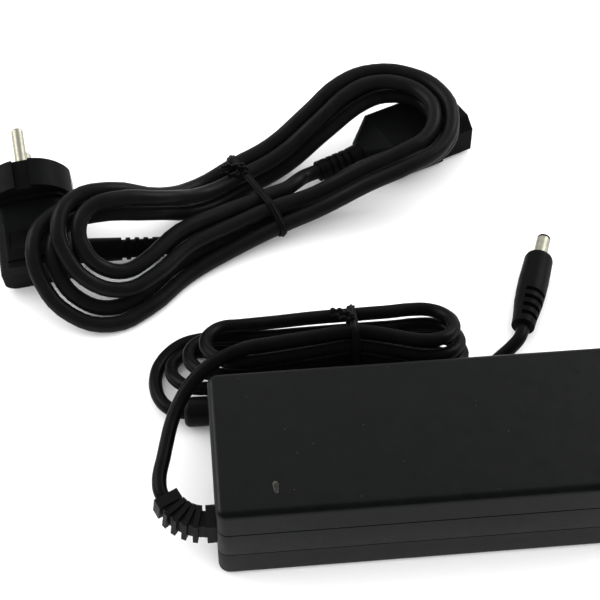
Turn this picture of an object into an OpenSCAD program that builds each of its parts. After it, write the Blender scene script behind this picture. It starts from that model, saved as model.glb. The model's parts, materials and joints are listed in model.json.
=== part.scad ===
// Laptop power adapter: a two-shell brick with its circuit inside, a tied low-voltage
// lead with a barrel plug, and a separate tied mains lead lying behind it.
// Millimetres. +Z is up, +X runs along the brick towards its mains inlet, the origin is
// the middle of the brick's underside.

/* [Brick] */
// Length of the brick
brick_length = 150; // [130:1:190]
// Width of the brick
brick_width = 61; // [56:1:80]
// Height of the brick
brick_height = 35; // [32:0.5:50]
// Thickness of the shell walls
wall = 2.2; // [1.6:0.1:2.6]
// Height of the bottom shell, up to the parting line
parting_height = 12; // [10:0.5:14]
// Radius of the four upright corners
corner_radius = 4; // [3:0.5:8]
// Radius of the long edges of the top and the underside
edge_radius = 2.6; // [2.3:0.1:4]
// Height of the fine line scored round the top shell
score_height = 23.5; // [22.5:0.5:25]
// Depth of the lip that locates the two shells
lip_depth = 2; // [1:0.25:3]
// Clearance between pieces that fit together
fit_gap = 0.15; // [0.1:0.05:0.3]

/* [Status light] */
// Distance of the light window from the left end
light_from_end = 20.5; // [16:0.5:30]
// Distance of the light window from the front face
light_from_front = 10.3; // [8:0.1:14]
// Length of the light window, across the brick
light_length = 5; // [4:0.5:8]
// Width of the light window
light_width = 2; // [1.5:0.25:3]

/* [Circuit board] */
// Thickness of the circuit board
board_thickness = 1.6; // [1:0.1:2]
// Height of the posts that carry the board above the floor
post_height = 3.5; // [3:0.25:5]
// Diameter of the posts
post_diameter = 5; // [4:0.5:6]
// Width of the transformer core along the brick
transformer_length = 28; // [24:1:30]
// Diameter of the bulk capacitor
bulk_diameter = 18; // [12:1:18]
// Length of the bulk capacitor
bulk_length = 28; // [20:1:30]
// Diameter of an output capacitor
output_cap_diameter = 10; // [6:1:10]
// Height of an output capacitor
output_cap_height = 16; // [10:1:20]

/* [Mains inlet] */
// Width of the recess that takes the connector
recess_width = 24.6; // [24.4:0.1:25]
// Height of the recess
recess_height = 16.4; // [16.2:0.1:17]
// Depth of the recess
recess_depth = 16; // [15:0.5:18]
// Distance between the two outer blades
blade_spacing = 14; // [14:0.1:14.2]
// Distance of the earth blade above the outer pair
earth_offset = 4; // [3.8:0.1:4.2]

/* [Low voltage lead] */
// Diameter of the low-voltage lead
dc_cord_diameter = 5.1; // [4.6:0.1:5.3]
// Height of the lead's exit from the left end
dc_exit_height = 17; // [16.9:0.1:18]
// Distance of the lead's exit from the front face
dc_exit_from_front = 9.9; // [9:0.1:14]
// Side of the square fins of the brick's strain relief
relief_side = 9.2; // [8.8:0.1:9.6]
// Number of fins between the strain relief's two blocks
relief_fins = 4; // [3:1:5]
// Diameter of the ferrite bead
bead_diameter = 11; // [9:0.5:11]
// Length of the ferrite bead
bead_length = 28; // [20:1:28]
// Diameter of the barrel plug's grip
grip_diameter = 12; // [10:0.5:12]
// Length of the barrel plug's grip
grip_length = 38; // [34:1:44]
// Outer diameter of the plug's barrel
barrel_diameter = 5.5; // [5.5:0.1:6]
// Bore of the plug's barrel
barrel_bore = 2.5; // [2.1:0.1:2.5]
// Length of the plug's barrel
barrel_length = 11; // [9:0.5:11]

/* [Mains lead] */
// Diameter of the mains lead
mains_cord_diameter = 6.2; // [5.8:0.1:6.4]
// Radius of the mains plug's round face
plug_radius = 18.5; // [18:0.1:18.6]
// Diameter of a plug pin
pin_diameter = 4.8; // [4.6:0.1:5]
// Length of a plug pin
pin_length = 19; // [18:0.5:20]
// Distance between the two plug pins
pin_spacing = 19; // [18.8:0.1:19.2]
// Diameter of the plug's strain relief
neck_diameter = 9.2; // [8.4:0.1:9.4]
// Width of the connector's body
connector_width = 27; // [25:0.5:27]
// Height of the connector's body
connector_height = 19; // [18:0.5:19]
// Length of the connector's body with its front
connector_length = 49; // [44:1:50]

/* [Ties] */
// Thickness of a tie
tie_thickness = 1; // [0.6:0.1:1.1]
// Width of a tie
tie_width = 3; // [2:0.5:4]

/* [Smoothness] */
// Facets round the small curves
facets = 48; // [24:8:96]

/* [Hidden] */
$fn = facets;

case_black = [0.15, 0.15, 0.16];
case_grey = [0.2, 0.2, 0.21];
cord_black = [0.09, 0.09, 0.1];
copper = [0.72, 0.42, 0.2];
metal = [0.75, 0.75, 0.77];

left_end = -brick_length / 2;
right_end = brick_length / 2;
front_face = -brick_width / 2;
ceiling = brick_height - wall;
board_bottom = wall + post_height;
board_top = board_bottom + board_thickness;
lip = wall / 2;              // thickness of the locating lip
inside_length = brick_length - 2 * wall;
inside_width = brick_width - 2 * wall;
inlet_mid = 17.5;            // height of the inlet's middle
inlet_wall = 1.9;            // wall round the recess
inlet_width = recess_width + 2 * inlet_wall;
inlet_height = recess_height + 2 * inlet_wall;
inlet_back = 2;              // wall behind the recess
inlet_flange = 1.3;
blade = [2, 4];              // width and height of an inlet blade
blade_out = recess_depth - 1.5;
light = [left_end + light_from_end, front_face + light_from_front];
dc_exit_y = front_face + dc_exit_from_front;

// ---------- curves and tubes ----------

// Smooth step from 0 to 1
function ease(x) = let (u = min(max(x, 0), 1)) u * u * (3 - 2 * u);
function unit(v) = v / norm(v);
function mix(a, b, f) = a + (b - a) * f;

// Place along a hank loop whose runs draw in at the waist. t counts loops from the
// waist's near side; r is the fold's radius, w the half width at the waist, left and
// right the distances of the folds' centres, soft the roundness of the waist.
function loop_xy(t, r, w, left, right, soft) =
    let (
        turn = t + 0.125,
        phase = (turn - floor(turn)) * 360 - 45,
        a = (phase >= 0 && phase < 180) ? right : left,
        lean = asin(r / norm([a - soft, w])) - atan2(w, a - soft),
        end = a - r * sin(lean),
        f = phase < 0 ? -phase / 45 : phase < 45 ? phase / 45 :
            phase < 180 ? (180 - phase) / 45 : (phase - 180) / 45,
        run = w + tan(lean) * (norm([end * f, soft]) - soft),
        s = phase < 180 ? (phase - 90) / 45 * (90 + lean) : (phase - 270) / 45 * (90 + lean)
    )
    phase < 0 ? [-end * f, -run] :
    phase < 45 ? [end * f, -run] :
    phase < 135 ? [a + r * cos(s), r * sin(s)] :
    phase < 180 ? [end * f, run] :
    phase < 225 ? [-end * f, run] :
    [-a - r * cos(s), -r * sin(s)];

// Route with one diameter of straight tube added at both ends
function with_straight_ends(p, d) =
    let (n = len(p) - 1)
    concat([p[0] - d * unit(p[1] - p[0])], p, [p[n] + d * unit(p[n] - p[n - 1])]);

function direction(p, i) =
    let (n = len(p) - 1) unit(p[min(i + 1, n)] - p[max(i - 1, 0)]);

// Tube of one diameter along a route: a ring of corners at each point, faces as triangles.
// level is a direction that the route never takes.
module tube(p, d, sides, level = [0, 0, 1]) {
    n = len(p);
    corners = [for (i = [0 : n - 1])
        let (along = direction(p, i), side = unit(cross(along, level)), up = cross(side, along))
        for (k = [0 : sides - 1])
            p[i] + d / 2 * (cos(360 * k / sides) * side + sin(360 * k / sides) * up)];
    walls = [for (i = [0 : n - 2], k = [0 : sides - 1])
        let (a = i * sides + k, b = i * sides + (k + 1) % sides)
        each [[a, a + sides, b], [b, a + sides, b + sides]]];
    first = [for (k = [1 : sides - 2]) [0, k, k + 1]];
    base = (n - 1) * sides;
    last = [for (k = [1 : sides - 2]) [base, base + k + 1, base + k]];
    polyhedron(corners, concat(walls, first, last));
}

// Least distance between stretches of a route that lie more than skip apart along it
function self_gap(p, d, skip, parts) =
    let (
        fine = [for (i = [0 : len(p) - 2], j = [0 : parts - 1]) mix(p[i], p[i + 1], j / parts)],
        step = [for (i = [0 : len(fine) - 2]) norm(fine[i + 1] - fine[i])],
        away = [for (i = 0, s = 0; i < len(fine); s = s + (i < len(step) ? step[i] : 0), i = i + 1) s]
    )
    min([for (i = [0 : len(fine) - 1], j = [i + 1 : 1 : len(fine) - 1])
        if (away[j] - away[i] > skip) norm(fine[i] - fine[j])]) - d;

function route_length(p) = [for (i = 0, s = 0; i < len(p);
    s = s + (i < len(p) - 1 ? norm(p[i + 1] - p[i]) : 0), i = i + 1) s][len(p) - 1];

// ---------- low-voltage lead: where it runs ----------

dc_d = dc_cord_diameter;
tie_gap = 0.35;              // room between a tie and the strands
waist_lift = tie_gap + tie_thickness + 0.05; // room for the tie under the waist

rings_per_loop = 24;
hank_sides = 6;
cord_sides = 10;

dc_waist = [-20, 49.8];      // middle of the hank's waist
dc_tilt = 18;                // the hank leans on the brick: its front runs lie higher than its back runs
dc_turn = 3.6;               // angle of the hank's long axis to the brick
dc_fold = 11.4;              // radius of the folds
dc_half_waist = 5.8;
dc_layer = 6.2;              // step between layers
dc_soft = 3;
dc_fan = 0.14;               // how much wider the left folds are than the right ones
dc_right_tips = [37, 39, 40.5, 37];  // reach of each loop's right fold
dc_left_tips = [54.5, 61, 68, 69];   // reach of each loop's left fold
dc_layer_shift = [1, 0.5, -1, -0.5]; // each layer's shift across the hank, from the floor up
dc_last_out = 6.6;           // how far the last run passes outside the others at the left
dc_loops = [-1 / 12, 3 + 7 / 12];  // where along the loops the hank begins and ends

// Place in the hank's own plane: along it, across it and above the lowest strand's bottom
function dc_flat(t) =
    let (
        right = dc_right_tips[min(max(floor(t), 0), 3)] - dc_fold,
        left = dc_left_tips[min(max(floor(t - 0.5), 0), 3)] - dc_fold,
        p = loop_xy(t, dc_fold, dc_half_waist, left, right, dc_soft),
        i = floor(max(t, 0)),
        f = max(t, 0) - i,
        over = max(3 - i, 0),
        sunk = (f >= 0.375 && f < 0.625) ? ease((1 - p.x) / 52) : f < 0.5 ? 0 : 1,
        k = over - (over > 0 ? sunk : 0),
        shift = lookup(k, [for (j = [0 : 3]) [j, dc_layer_shift[j]]])
    )
    [p.x, p.y * (1 + dc_fan * ease(-p.x / 40)) + shift,
        dc_d / 2 + dc_layer * k + waist_lift * (1 - ease(abs(p.x) / 25))];

function dc_leaning(t) =
    let (
        p = dc_flat(t),
        out = t > 3.3 ? dc_last_out * ease((4 - p.x) / 26) : 0
    )
    [dc_waist.x + p.x, dc_waist.y - p.x * sin(dc_turn) + out + p.y * cos(dc_tilt) + p.z * sin(dc_tilt),
        p.z * cos(dc_tilt) - p.y * sin(dc_tilt)];

dc_count = round((dc_loops[1] - dc_loops[0]) * rings_per_loop);
dc_leaning_route = with_straight_ends(
    [for (i = [0 : dc_count]) dc_leaning(mix(dc_loops[0], dc_loops[1], i / dc_count))], dc_d);
dc_rise = dc_d / 2 + 0.45 - min([for (p = dc_leaning_route) p.z]);  // puts the lowest run on the floor
dc_hank_route = [for (p = dc_leaning_route) p + [0, 0, dc_rise]];
dc_hank_start = dc_hank_route[0];
dc_hank_last = len(dc_hank_route) - 1;
dc_hank_end = dc_hank_route[dc_hank_last];

// Strain relief on the brick: it curves from the left end round towards the back and rises a little
relief_base = 3.2;           // length of its inner block outside the brick
relief_arc = 13.8;           // radius of the curve in plan
relief_sweep = 62;           // angle of the curve in plan
relief_rise = 1.7;           // how much higher the curve ends than it begins
relief_tip = 3;              // length of its end block
relief_core = 6.4;           // side of the core between the fins
fin_thickness = 1.75;

function relief_point(angle) = [left_end - relief_base - relief_arc * sin(angle),
    dc_exit_y + relief_arc * (1 - cos(angle)), dc_exit_height + relief_rise * pow(angle / relief_sweep, 2)];
function relief_climb(angle) =
    atan(2 * relief_rise * angle / relief_sweep / (relief_arc * relief_sweep * PI / 180));
relief_way = unit([-cos(relief_sweep), sin(relief_sweep), tan(relief_climb(relief_sweep))]);
relief_end = relief_point(relief_sweep) + relief_tip * relief_way;

dc_lead_points = [[-93.4, -4, 20], [-92.9, 0.5, 20.1], [-91.8, 5, 20.3], [-90.2, 12.5, 20.6],
    [-88.3, 20, 21.2], [-85.6, 27, 22.2], [-81.8, 33.2, 23.8], [-76.8, 38.3, 25.6], [-70.6, 42.3, 27.2],
    [-63.4, 45, 28.3]];
dc_lead_route = concat([relief_end, relief_end + dc_d / 2 * relief_way], dc_lead_points,
    [dc_hank_start - dc_d * direction(dc_hank_route, 0), dc_hank_start]);

bead_place = [-84, 36.6, 5.5];
dc_tail_points = [[-72.8, 73.6, 2.9], [-78.2, 73.4, 2.7], [-83.5, 71.7, 2.7], [-88.4, 67.9, 2.7],
    [-92.2, 62.4, 2.9], [-94, 55.8, 3.4], [-94, 49.5, 4], [-92.6, 44, 4.6], [-90, 39.8, 5.2],
    [-86.6, 37.3, 5.5], [-83, 36.6, 5.5], [-71, 36.6, 5.5], [-57, 36.6, 5.5], [-54, 36.5, 5.4],
    [-46, 36.1, 4.8], [-38, 35.4, 3.7], [-28, 34.6, 2.7], [-18, 34.4, 2.6], [-4, 34.5, 2.6],
    [8, 34.6, 2.6], [17, 37.2, 2.6], [24, 42.4, 2.6], [30.6, 48.8, 2.7], [37, 54.2, 3.4],
    [42.4, 58, 5]];
dc_plug_back = [47.5, 66.2, grip_diameter / 2];
dc_plug_heading = 69.3;
dc_plug_way = [cos(dc_plug_heading), sin(dc_plug_heading), 0];
dc_tail_route = concat([dc_hank_end, dc_hank_end + dc_d * direction(dc_hank_route, dc_hank_last)],
    dc_tail_points, [dc_plug_back - dc_d * dc_plug_way, dc_plug_back]);

// ---------- mains lead: where it runs ----------

mains_d = mains_cord_diameter;
mains_waist = [-50.5, 144.5];
mains_heading = 26;          // direction of the hank's long axis
mains_fold = 15;             // radius of the innermost folds
mains_half_waist = 6;
mains_step = 7.3;            // step from one loop to the next
mains_layer = 8.2;           // step between the two layers
mains_soft = 8;
mains_left = 68.5;           // distance of the left folds' centre
mains_right = 66;            // distance of the right folds' centre
mains_draw_left = 8;         // how much shorter the upper layer is on the left
mains_draw_right = 6;        // and on the right
mains_rise_left = 24.8;       // rise of the left folds over the plug and its neck
mains_ramp_left = 50;        // how far along the hank that rise takes
mains_ramp_step = 10;        // how much later it begins from one loop to the next
mains_sway = [3.5, 7.2];     // how far the risen folds lean forward, along and across the hank
mains_rise_right = 19.4;     // rise of the right folds over the connector
mains_bow = 5;               // sideways lean of the right folds
mains_bow_left = 2.8;        // and of the left folds
mains_draw_in = [7, 7.5];    // how far the left lobe's front and back runs are drawn in

function mains_flat(p) = [mains_waist.x + p.x * cos(mains_heading) - p.y * sin(mains_heading),
    mains_waist.y + p.x * sin(mains_heading) + p.y * cos(mains_heading), p.z];

function mains_local(t) =
    let (
        out = t < 2 ? t : 4 - t,
        climb = ease((t - 1.9) / 0.2),
        q = loop_xy(t, mains_fold + mains_step * out, mains_half_waist + mains_step * out,
            mains_left - mains_draw_left * climb, mains_right - mains_draw_right * climb, mains_soft),
        over_plug = ease((-q.x - 2 - mains_ramp_step * out) / mains_ramp_left) * ease((q.y + 28) / 50),
        drawn = ease((-q.x - 6) / 26) * ease((q.x + 88) / 50)
            * (q.y < 0 ? mains_draw_in[0] : -mains_draw_in[1]),
        rise = q.x < 0 ? mains_rise_left * over_plug
            : mains_rise_right * ease((q.x - 6) / 56) * (0.75 + 0.25 * min(max((q.y + 32) / 20, 0), 1)),
        z = mains_d / 2 + mains_layer * climb + waist_lift * (1 - ease(abs(q.x) / 30)) + rise
    )
    [q.x - mains_sway.x * over_plug, q.y + drawn - mains_sway.y * over_plug
        - mains_bow * ease(q.x / 60) - mains_bow_left * ease(-q.x / 60), z];

function mains_loop(t) = mains_flat(mains_local(t));

mains_count = 4 * rings_per_loop;
mains_hank_route = with_straight_ends(
    [for (i = [0 : mains_count]) mains_loop(4 * i / mains_count)], mains_d);
mains_hank_start = mains_hank_route[0];
mains_hank_last = len(mains_hank_route) - 1;
mains_hank_end = mains_hank_route[mains_hank_last];

neck_start = [-127.5, 118.5, 9.8];
neck_end = [-89, 121.5, 5.9];
neck_way = unit(neck_end - neck_start);
mains_start_points = [[-77, 125.6, 4.7], [-70, 129.2, 4.4]];
mains_start_route = concat([neck_end, neck_end + mains_d * neck_way], mains_start_points,
    [mains_hank_start - mains_d * direction(mains_hank_route, 0), mains_hank_start]);

// The connector's place in the hank's own frame: x along the hank, y across it
connector_back = [50, -2.5, 9.5];
connector_lean = -2.3;
connector_neck = 20;
connector_way = [cos(mains_heading + connector_lean), sin(mains_heading + connector_lean), 0];
connector_neck_end = mains_flat(connector_back) - connector_neck * connector_way;
mains_end_points = [[17.6, -4.3, 11.6]];
mains_end_route = concat([mains_hank_end, mains_hank_end + mains_d * direction(mains_hank_route, mains_hank_last)],
    [for (p = mains_end_points) mains_flat(p)],
    [connector_neck_end - mains_d * connector_way, connector_neck_end]);

echo(dc_hank_gap = self_gap(dc_hank_route, dc_d, 25, 4), dc_hank_length = route_length(dc_hank_route),
    dc_lead_length = route_length(dc_lead_route), dc_tail_length = route_length(dc_tail_route));
echo(mains_hank_gap = self_gap(mains_hank_route, mains_d, 30, 5),
    mains_hank_length = route_length(mains_hank_route),
    mains_start_length = route_length(mains_start_route),
    mains_end_length = route_length(mains_end_route));

// ---------- shared shapes ----------

// Rectangle with round corners, centred
module round_rect(x, y, r) {
    square([x - 2 * r, y], center = true);
    square([x, y - 2 * r], center = true);
    for (i = [-1, 1], j = [-1, 1]) translate([i * (x / 2 - r), j * (y / 2 - r)]) circle(r);
}

// Upright outline whose four corners are round, standing on y = 0
module round_profile(x, y, r) {
    translate([0, y / 2]) round_rect(x, y, r);
}

// Box with round upright corners and round long edges, standing on z = 0
module soft_box(x, y, z, corner, edge) {
    intersection() {
        linear_extrude(z) round_rect(x, y, corner);
        translate([0, y, 0]) rotate([90, 0, 0]) linear_extrude(2 * y) round_profile(x, z, edge);
        translate([-x, 0, 0]) rotate([90, 0, 90]) linear_extrude(2 * x) round_profile(y, z, edge);
    }
}

module case_outside() {
    soft_box(brick_length, brick_width, brick_height, corner_radius, edge_radius);
}

module case_inside() {
    translate([0, 0, wall]) soft_box(inside_length, inside_width, ceiling - wall,
        corner_radius - wall / 2, edge_radius - wall / 2);
}

// Slab of space between two heights, wider than the brick
module band(low, high) {
    translate([-brick_length, -brick_width, low]) cube([2 * brick_length, 2 * brick_width, high - low]);
}

// Outline of the mains inlet or of the connector's front, two corners cut off
module inlet_outline(x, y, cut) {
    polygon([[-x / 2, -y / 2], [x / 2, -y / 2], [x / 2, y / 2 - cut], [x / 2 - cut, y / 2],
        [-x / 2 + cut, y / 2], [-x / 2, y / 2 - cut]]);
}

// Turns a shape drawn in x and y, and extruded along z, to lie along +X with its y upwards
module along_x() {
    rotate([90, 0, 90]) children();
}

module board_part(x, y) {
    translate([x, y, board_top]) children();
}

// ---------- shells ----------

module relief_notch(gap) {
    translate([left_end - 1, dc_exit_y - relief_side / 2 - gap, parting_height - lip_depth - 1])
        cube([wall + 2, relief_side + 2 * gap,
            dc_exit_height + relief_side / 2 + gap - parting_height + lip_depth + 1]);
}

module inlet_hole() {
    translate([right_end - wall - 1, 0, inlet_mid])
        along_x() linear_extrude(wall + 2)
            square([inlet_width + 2 * fit_gap, inlet_height + 2 * fit_gap], center = true);
}

module top_shell() {
    score = 0.3;
    color(case_black) difference() {
        union() {
            intersection() {
                difference() {
                    case_outside();
                    case_inside();
                }
                band(parting_height, brick_height + 1);
            }
            // lip that reaches down inside the bottom shell
            translate([0, 0, parting_height - lip_depth]) linear_extrude(lip_depth + 0.01) difference() {
                round_rect(brick_length - 2 * (wall - lip) - 2 * fit_gap,
                    brick_width - 2 * (wall - lip) - 2 * fit_gap, corner_radius - lip);
                round_rect(inside_length, inside_width, corner_radius - wall / 2);
            }
        }
        // fine scored line
        translate([0, 0, score_height]) linear_extrude(score) difference() {
            square([2 * brick_length, 2 * brick_width], center = true);
            round_rect(brick_length - 2 * score, brick_width - 2 * score, corner_radius);
        }
        translate([light.x, light.y, ceiling - 1]) linear_extrude(wall + 2)
            round_rect(light_width + 2 * fit_gap, light_length + 2 * fit_gap, light_width / 2 + fit_gap - 0.01);
        relief_notch(0.1);
        inlet_hole();
    }
}

module board_posts() {
    for (i = [-1, 1], j = [-1, 1])
        translate([board_middle + i * (board_length / 2 - 6), j * (board_width / 2 - 5), wall])
            cylinder(h = post_height, d = post_diameter);
}

module bottom_shell() {
    label = [brick_length - 40, brick_width - 16, 0.3];
    color(case_grey) difference() {
        union() {
            intersection() {
                difference() {
                    case_outside();
                    case_inside();
                }
                band(-1, parting_height);
            }
            board_posts();
        }
        // ledge that takes the top shell's lip
        translate([0, 0, parting_height - lip_depth - 0.2]) linear_extrude(lip_depth + 1)
            round_rect(brick_length - 2 * (wall - lip), brick_width - 2 * (wall - lip), corner_radius - lip);
        // shallow field on the underside, left bare
        translate([-label.x / 2, -label.y / 2, -1]) cube([label.x, label.y, 1 + label.z]);
        inlet_hole();
    }
}

// ---------- status light ----------

module light_window() {
    flange = 0.8;
    color([0.75, 0.78, 0.74]) {
        translate([light.x, light.y, ceiling - 0.01]) linear_extrude(wall)
            round_rect(light_width, light_length, light_width / 2 - 0.01);
        translate([light.x, light.y, ceiling - flange]) linear_extrude(flange)
            square([light_width + 2, light_length + 2], center = true);
    }
}

module status_led() {
    top = ceiling - 1.6;
    color([0.7, 0.85, 0.6]) {
        translate([light.x, light.y, top - 4]) cylinder(h = 4, d = 3);
        translate([light.x, light.y, top - 5]) cylinder(h = 1, d = 3.8);
    }
    color(metal) for (i = [-1, 1])
        translate([light.x, light.y + i * 1.27, board_top]) cylinder(h = top - 5 - board_top, d = 0.6);
}

// ---------- circuit ----------

board_middle = -5;
board_length = inside_length - 20;
board_width = inside_width - 2;

module circuit_board() {
    color([0.12, 0.35, 0.2]) translate([board_middle, 0, board_bottom]) linear_extrude(board_thickness)
        square([board_length, board_width], center = true);
}

module insulation_sheet() {
    color([0.85, 0.85, 0.8]) translate([board_middle, 0, wall]) linear_extrude(0.4) difference() {
        square([board_length, board_width - 2], center = true);
        for (i = [-1, 1], j = [-1, 1])
            translate([i * (board_length / 2 - 6), j * (board_width / 2 - 5)]) circle(d = post_diameter + 1);
    }
}

module heat_spreader() {
    sheet = 0.8;
    color(metal) translate([0, 0, ceiling - 0.1 - sheet]) linear_extrude(sheet) difference() {
        translate([-6, 0]) square([inside_length - 30, inside_width - 5], center = true);
        translate(light) square([light_width + 4, light_length + 4], center = true);
    }
}

transformer_place = [-26, 6];
transformer_width = 24;
transformer_height = 20;
transformer_leg = 5;

module transformer_core() {
    color([0.22, 0.22, 0.24]) board_part(transformer_place.x, transformer_place.y) {
        for (i = [-1, 1]) translate([i * (transformer_length - transformer_leg) / 2, 0, transformer_height / 2 + 1])
            cube([transformer_leg, transformer_width, transformer_height], center = true);
        translate([0, 0, transformer_height / 2 + 1]) rotate([0, 90, 0])
            cylinder(h = transformer_length - transformer_leg, d = 9, center = true);
        for (j = [-1, 1]) translate([0, j * (transformer_width - 4) / 2, transformer_height / 2 + 1])
            cube([transformer_length - transformer_leg, 4, transformer_height], center = true);
        // feet of the former
        for (i = [-1, 1], j = [-1, 1]) translate([i * 9, j * 8, 0.51]) cube([3, 3, 1.02], center = true);
    }
}

module transformer_winding() {
    color([0.85, 0.75, 0.2]) board_part(transformer_place.x, transformer_place.y)
        translate([0, 0, transformer_height / 2 + 1]) rotate([0, 90, 0]) difference() {
            cylinder(h = transformer_length - 2 * transformer_leg - 0.4, d = transformer_width - 8.6, center = true);
            cylinder(h = transformer_length, d = 9.3, center = true);
        }
}

module filter_inductor() {
    color([0.3, 0.3, 0.3]) board_part(14, -14) {
        translate([0, 0, 1]) cube([22, 20, 2], center = true);
        translate([0, 0, 17]) cube([22, 20, 2], center = true);
        translate([0, 0, 2]) cylinder(h = 14, d = 8);
        for (j = [-1, 1]) translate([0, j * 9, 9]) cube([22, 2, 14.02], center = true);
    }
    color(copper) board_part(14, -14) translate([0, 0, 2]) difference() {
        cylinder(h = 14, d = 15);
        translate([0, 0, -1]) cylinder(h = 16, d = 8);
    }
}

module bulk_capacitor() {
    color([0.1, 0.12, 0.25]) board_part(2 - bulk_length, -16)
        translate([0, 0, bulk_diameter / 2]) rotate([0, 90, 0]) {
            cylinder(h = bulk_length, d = bulk_diameter);
        }
}

module x_capacitor() {
    color([0.9, 0.75, 0.15]) board_part(40, 12) translate([0, 0, 7.5]) cube([9, 18, 15], center = true);
}

choke_place = [36.5, -15];
choke_ring = [5, 8.5, 7];    // inner radius, outer radius, height

choke_lift = 1.5;            // thickness of the winding beneath the ring

module choke_core() {
    color([0.3, 0.4, 0.3]) board_part(choke_place.x, choke_place.y)
        translate([0, 0, choke_lift]) difference() {
            cylinder(h = choke_ring.z, r = choke_ring.y);
            translate([0, 0, -1]) cylinder(h = choke_ring.z + 2, r = choke_ring.x);
        }
}

module choke_windings() {
    wire = 1.5;
    color(copper) board_part(choke_place.x, choke_place.y) for (turn = [25, 205])
        rotate([0, 0, turn]) difference() {
            rotate_extrude(angle = 130) translate([choke_ring.x - wire, 0])
                square([choke_ring.y - choke_ring.x + 2 * wire, choke_ring.z + 2 * wire]);
            translate([0, 0, choke_lift - 0.2]) difference() {
                cylinder(h = choke_ring.z + 0.4, r = choke_ring.y + 0.2);
                translate([0, 0, -1]) cylinder(h = choke_ring.z + 3, r = choke_ring.x - 0.2);
            }
        }
}

heatsink_y = board_width / 2 - 4;
plate = 2;

module primary_heatsink() {
    color(metal) board_part(16, heatsink_y) translate([-15, 0, 0]) cube([34, plate, 20]);
}

module bridge_rectifier() {
    color([0.12, 0.12, 0.12]) board_part(22, heatsink_y - 3.6) cube([12, 3.5, 17]);
}

module power_transistor() {
    color([0.1, 0.1, 0.1]) board_part(6, heatsink_y - 4.6) {
        translate([0, 0, 3]) cube([10, 4.5, 15]);
        for (i = [0 : 2]) translate([2.2 + i * 2.5, 2, 0]) cube([0.8, 0.6, 3.01]);
    }
}

module secondary_heatsink() {
    color(metal) board_part(-64, heatsink_y) cube([20, plate, 20]);
}

module output_rectifier() {
    color([0.1, 0.1, 0.1]) board_part(-59, heatsink_y - 4.6) {
        translate([0, 0, 3]) cube([10, 4.5, 15]);
        for (i = [0 : 2]) translate([2.2 + i * 2.5, 2, 0]) cube([0.8, 0.6, 3.01]);
    }
}

module output_capacitors() {
    color([0.15, 0.25, 0.2]) for (i = [0 : 2])
        board_part(-49, -10 + i * 11) cylinder(h = output_cap_height, d = output_cap_diameter);
}

module y_capacitors() {
    color([0.25, 0.4, 0.7]) for (i = [0, 1])
        board_part(-6 + i * 7, 14) translate([0, 0, 5]) rotate([0, 90, 0]) cylinder(h = 4, d = 9.9);
}

module optocoupler() {
    color([0.9, 0.9, 0.88]) board_part(-40, -20) cube([6.5, 4.6, 3.5]);
}

module control_chip() {
    color([0.1, 0.1, 0.1]) board_part(-2, -3) cube([10, 5, 1.8]);
}

module fuse() {
    color([0.8, 0.8, 0.75]) board_part(32, 17) translate([0, 0, 2.7]) rotate([90, 0, 0])
        cylinder(h = 15, d = 5);
    color(metal) board_part(32, 17) for (y = [-15, -3]) translate([-2.9, y, 0]) difference() {
        cube([5.8, 3, 5.6]);
        translate([2.9, 4, 2.7]) rotate([90, 0, 0]) cylinder(h = 5, d = 5);
    }
}

// ---------- mains inlet ----------

module inlet_body() {
    depth = recess_depth + inlet_back;
    color(case_black) translate([right_end - depth, 0, inlet_mid]) along_x() difference() {
        union() {
            linear_extrude(depth) square([inlet_width, inlet_height], center = true);
            translate([0, 0, depth - wall - inlet_flange - 0.05]) linear_extrude(inlet_flange)
                square([inlet_width + 4, inlet_height + 3], center = true);
        }
        translate([0, 0, inlet_back]) linear_extrude(depth) inlet_outline(recess_width, recess_height, 5);
        for (b = blade_places) translate([b.x, b.y, -1]) linear_extrude(depth)
            square([blade.x + 2 * 0.05, blade.y + 2 * 0.05], center = true);
    }
}

// Across and up from the recess's middle: the outer pair and the earth blade
blade_places = [[-blade_spacing / 2, -earth_offset / 2], [blade_spacing / 2, -earth_offset / 2],
    [0, earth_offset / 2]];

module inlet_blades() {
    tag = 5;
    color(metal) for (b = blade_places)
        translate([right_end - recess_depth - inlet_back - tag, b.x, inlet_mid + b.y]) along_x()
            linear_extrude(blade_out + inlet_back + tag) square(blade, center = true);
}

module inlet_wires() {
    tag_x = right_end - recess_depth - inlet_back - 5;
    color([0.35, 0.3, 0.2]) for (b = blade_places)
        tube([for (p = [[0, 0], [1.4, 0], [2.8, -0.8], [3.6, -2.4], [3.8, -4]])
            [tag_x - p.x, b.x, inlet_mid + b.y + p.y],
            [tag_x - 3.8, b.x, board_top + 2],
            [tag_x - 3.8, b.x, board_top]], 1.6, 8, [0, 1, 0]);
}

// ---------- low-voltage lead ----------

module output_wires() {
    color([0.5, 0.1, 0.1]) for (i = [-1, 1])
        tube([for (p = [[0, 0], [2, 0], [4, -1], [5, -3]])
            [left_end + wall + 0.1 + collar.x + p.x, dc_exit_y + i * 1.5, dc_exit_height + p.y],
            [left_end + wall + 9.2, dc_exit_y + i * 1.5, board_top + 2],
            [left_end + wall + 9.2, dc_exit_y + i * 1.5, board_top]], 1.8, 8, [0, 1, 0]);
}

// Places a shape, drawn with +X along the lead, at an angle along the strain relief's curve
module at_relief(angle) {
    translate(relief_point(angle)) rotate([0, -relief_climb(angle), 180 - angle]) children();
}

collar = [3.9, relief_side + 1.6];  // length and width of the relief's collar inside the wall

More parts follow.
